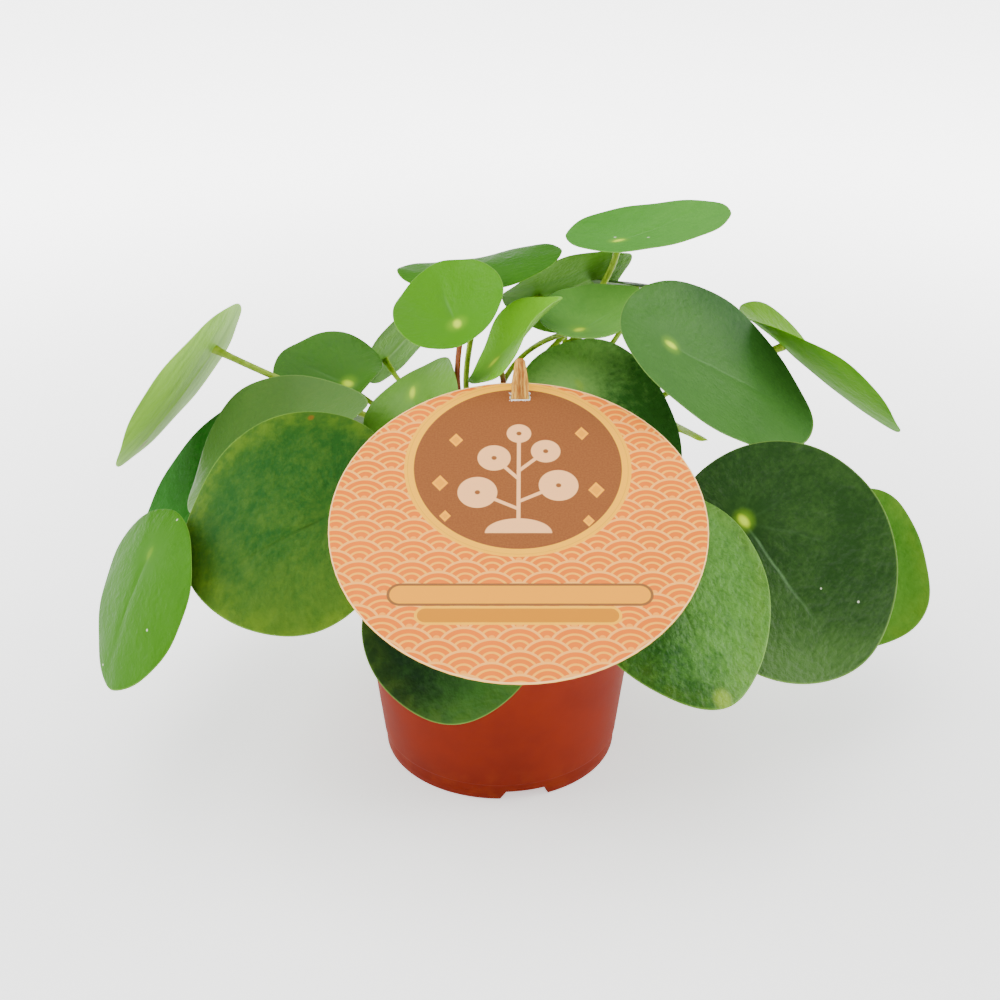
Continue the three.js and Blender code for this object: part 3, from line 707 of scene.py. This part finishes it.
# Drawn plant: round leaves (middle, radius), stems (from, to) and lozenges round it (middle, half height)
LEAF_DISCS = ((-13.5, 12.0, 6.6), (13.5, 15.0, 6.6), (-8.0, 27.0, 5.6), (9.5, 30.0, 5.0), (0.5, 38.0, 4.2))
STEMS = ((0, -1, 0.5, 38), (0, 5, -13.5, 12), (0, 8, 13.5, 15), (0, 18, -8, 27), (0, 21, 9.5, 30))
LOZENGES = ((-26, 16, 3.4), (26, 13, 3.4), (-21, 35, 3.0), (22, 38, 3.0), (-24, 2, 2.4), (23, 0, 2.4))
SLOT = (1.0, 55.2)              # where the stick comes through
SLOT_HALF = (3.0, 1.4)
STEM_HALF = 0.65
SEED_R = 0.9
MOUND_R = 6.0
MOUND_FLAT = 0.55
MOUND_Y = -5.0
LINE_OF_BAR = 0.9
# Pale bands of a wave scale: from and to which distance from its middle, and the colour
WAVE_BANDS = ((5.25, 6.0, 0xFFB02C), (2.9, 3.65, 0xFFB02C), (0.0, 1.1, 0xFFA228), (7.65, 9.5, 0xFFB04C))
# Two plain bars: middle, half width, half height, colour, colour of the line round it
BARS = ((0.3, -29.4, 41.0, 3.4, 0xF39D02, 0x85572E), (-0.4, -37.3, 31.4, 2.6, 0xCB7F02, 0xFFB302))


def card_material():
    s = Shader("label_print")
    px, py, pz = s.split(s.object_point())
    middle = (CARD + AXIS) * MM
    x = s.mul(s.sub(px, middle[0]), 1000.0)
    up_y = s.mul(s.sub(py, middle[1]), 1000.0 * math.cos(CARD_TILT))
    up_z = s.mul(s.sub(pz, middle[2]), 1000.0 * math.sin(CARD_TILT))
    y = s.add(up_y, up_z)

    def distance(cx, cy):
        dx = s.sub(x, cx)
        dy = s.sub(y, cy)
        return s.math("SQRT", s.add(s.mul(dx, dx), s.mul(dy, dy)))

    def inside(gap, soft=0.12):
        return s.ramp(gap, -soft, soft, 1.0, 0.0)

    # waves: of the scales that hold this point, the one whose middle lies lowest is in front
    step = SCALE_R / 2
    period = 2 * SCALE_R
    row = s.math("CEIL", s.math("DIVIDE", s.sub(s.sub(y, SCALE_Y), SCALE_R), step))
    nearest = None
    for k in (3, 2, 1, 0):
        this = s.add(row, float(k))
        shift = s.mul(s.math("FLOORED_MODULO", this, 2.0), SCALE_R)
        turns = s.math("DIVIDE", s.sub(s.sub(x, SCALE_X), shift), period)
        dx = s.mul(s.sub(turns, s.math("ROUND", turns)), period)
        dy = s.sub(s.sub(y, SCALE_Y), s.mul(this, step))
        d = s.math("SQRT", s.add(s.mul(dx, dx), s.mul(dy, dy)))
        if nearest is None:
            nearest = d
        else:
            hit = s.math("LESS_THAN", d, SCALE_R)
            nearest = s.add(s.mul(d, hit), s.mul(nearest, s.sub(1.0, hit)))

    def band(low, high):
        rise = s.ramp(nearest, low - 0.15, low + 0.15)
        fall = s.ramp(nearest, high - 0.15, high + 0.15, 1.0, 0.0)
        return s.mul(rise, fall)

    tint = s.noise(s.vector(x, y), 0.03, 2.0)
    color = s.mix(s.ramp(tint, 0.3, 0.7), 0xEE7402, 0xE67002)
    for low, high, tone in WAVE_BANDS:
        color = s.mix(band(low, high), color, tone)

    disc = distance(0.0, DISC_Y)
    color = s.mix(inside(s.sub(disc, RING_R)), color, 0xFFB204)
    thin = s.math("ABSOLUTE", s.sub(disc, RING_R - 1.1))
    color = s.mix(s.mul(inside(s.sub(thin, 0.12)), 0.45), color, 0xC88A10)
    grain = s.noise(s.vector(x, y), 1.6, 3.0, 0.6)
    brown = s.mix(s.ramp(grain, 0.35, 0.65), 0x804A24, 0x8A5228)
    color = s.mix(inside(s.sub(disc, DISC_R)), color, brown)

    pink = 0xFFBA7A
    for x0, y0, x1, y1 in STEMS:
        length = math.hypot(x1 - x0, y1 - y0)
        ux, uy = (x1 - x0) / length, (y1 - y0) / length
        ahead = s.add(s.mul(s.sub(x, x0), ux), s.mul(s.sub(y, y0), uy))
        aside = s.math("ABSOLUTE", s.sub(s.mul(s.sub(x, x0), uy), s.mul(s.sub(y, y0), ux)))
        beyond = s.math("MAXIMUM", s.mul(ahead, -1.0), s.sub(ahead, length))
        color = s.mix(inside(s.math("MAXIMUM", s.sub(aside, STEM_HALF), beyond)), color, pink)
    for cx, cy, r in LEAF_DISCS:
        gap = distance(cx, cy)
        color = s.mix(inside(s.sub(gap, r)), color, pink)
        color = s.mix(inside(s.sub(gap, SEED_R)), color, 0x8A5228)
    across = s.mul(x, MOUND_FLAT)
    above = s.sub(y, MOUND_Y)
    mound = s.math("SQRT", s.add(s.mul(across, across), s.mul(above, above)))
    color = s.mix(s.mul(inside(s.sub(mound, MOUND_R)), s.ramp(y, MOUND_Y - 0.2, MOUND_Y + 0.1)), color, pink)
    for cx, cy, r in LOZENGES:
        dx = s.math("ABSOLUTE", s.sub(x, cx))
        dy = s.math("ABSOLUTE", s.sub(y, cy))
        gap = s.sub(s.add(s.mul(dx, 1.25), dy), r)
        color = s.mix(inside(gap), color, 0xFFA602)
        color = s.mix(s.mul(inside(s.add(gap, 1.2)), 0.5), color, 0xE08E02)
    for cx, cy, half_w, half_h, fill, line in BARS:
        dx = s.math("MAXIMUM", s.sub(s.math("ABSOLUTE", s.sub(x, cx)), half_w - half_h), 0.0)
        dy = s.math("ABSOLUTE", s.sub(y, cy))
        gap = s.sub(s.math("SQRT", s.add(s.mul(dx, dx), s.mul(dy, dy))), half_h)
        color = s.mix(inside(s.sub(gap, LINE_OF_BAR)), color, line)
        color = s.mix(inside(gap), color, fill)
    color = s.mix(s.ramp(distance(0.0, 0.0), CARD_R - 0.5, CARD_R - 0.3), color, 0xFFD088)
    # the card's rim is cream, its back plain paper
    facing = s.split(s.node("ShaderNodeNewGeometry").outputs["Normal"])[2]
    color = s.mix(s.ramp(facing, 0.5, 0.8), 0xF0B45A, color)
    color = s.mix(s.ramp(facing, -0.8, -0.6), 0xF2ECE2, color)
    # torn paper round the slot
    dx = s.sub(s.math("ABSOLUTE", s.sub(x, SLOT[0])), SLOT_HALF[0])
    dy = s.sub(s.math("ABSOLUTE", s.sub(y, SLOT[1])), SLOT_HALF[1])
    ragged = s.mul(s.sub(s.noise(s.vector(x, y), 1.1, 4.0, 0.7), 0.5), 3.2)
    color = s.mix(inside(s.sub(s.add(s.math("MAXIMUM", dx, dy), ragged), 0.5)), color, 0xF4EEE6)
    s.bump(s.noise(s.vector(x, y), 2.2, 3.0), 0.00008, 0.3)
    return s.finish(color, 0.5, Specular_IOR_Level=0.1)


dress_node("label_card", card_material())

# Stage: pale floor, soft lights and the camera

FLOOR_HALF = 9.0
CAMERA_DISTANCE = 548 * MM
CAMERA_ELEVATION = math.radians(26.1)
CAMERA_AIM = Vector((AXIS[0] * MM, AXIS[1] * MM, 104.5 * MM))
LENS = 52.2


def floor():
    mesh = bpy.data.meshes.new("floor")
    h = FLOOR_HALF
    drop = -0.0002
    mesh.from_pydata([(-h, -h, drop), (h, -h, drop), (h, h, drop), (-h, h, drop)], [], [(0, 1, 2, 3)])
    s = Shader("floor_white")
    speckle = s.noise(s.object_point(), 3.0, 2.0)
    color = s.mix(s.ramp(speckle, 0.3, 0.7), 0xF7F7F7, 0xFFFFFF)
    # painted glow: the floor glows a little more away from the plant, like paper lit from behind, and is
    # dimmer near the plant as a painted shadow round it
    x, y, z = s.split(s.object_point())
    out = s.math("SQRT", s.add(s.mul(x, x), s.mul(y, y)))
    glow = s.ramp(out, 0.15, 1.1, 0.2, 1.0)
    s.put(s.surface.inputs["Emission Color"], s.vector(glow, glow, glow))
    mesh.materials.append(s.finish(color, 0.9, Specular_IOR_Level=0.1, Emission_Strength=4.4))
    made = bpy.data.objects.new("floor", mesh)
    bpy.context.scene.collection.objects.link(made)


def area(name, place, size, power):
    """A square soft light at a place in metres, turned to the middle of the plant."""
    light = bpy.data.lights.new(name, "AREA")
    light.size = size
    light.energy = power
    made = bpy.data.objects.new(name, light)
    made.location = place
    made.rotation_euler = (Vector((0, 0, 0.12)) - Vector(place)).to_track_quat("-Z", "Y").to_euler()
    bpy.context.scene.collection.objects.link(made)


floor()
area("front", (-0.35, -0.9, 1.7), 1.0, 16.0)
area("left", (-1.3, 0.1, 0.8), 1.2, 34.0)
area("right", (1.3, 0.15, 0.7), 1.2, 27.0)
area("back", (0.2, 1.3, 1.2), 1.4, 7.0)
area("top", (0.0, 0.1, 1.7), 1.2, 14.0)

world = bpy.data.worlds.new("studio")
world.use_nodes = True
world.node_tree.nodes["Background"].inputs["Color"].default_value = (1.0, 1.0, 1.0, 1.0)
world.node_tree.nodes["Background"].inputs["Strength"].default_value = 0.4
bpy.context.scene.world = world

camera_data = bpy.data.cameras.new("camera")
camera_data.lens = LENS
camera_data.sensor_width = 36.0
camera_data.clip_end = 50.0
camera = bpy.data.objects.new("camera", camera_data)
away = Vector((0, -math.cos(CAMERA_ELEVATION), math.sin(CAMERA_ELEVATION)))
camera.location = CAMERA_AIM + away * CAMERA_DISTANCE
camera.rotation_euler = (-away).to_track_quat("-Z", "Y").to_euler()
bpy.context.scene.collection.objects.link(camera)
bpy.context.scene.camera = camera
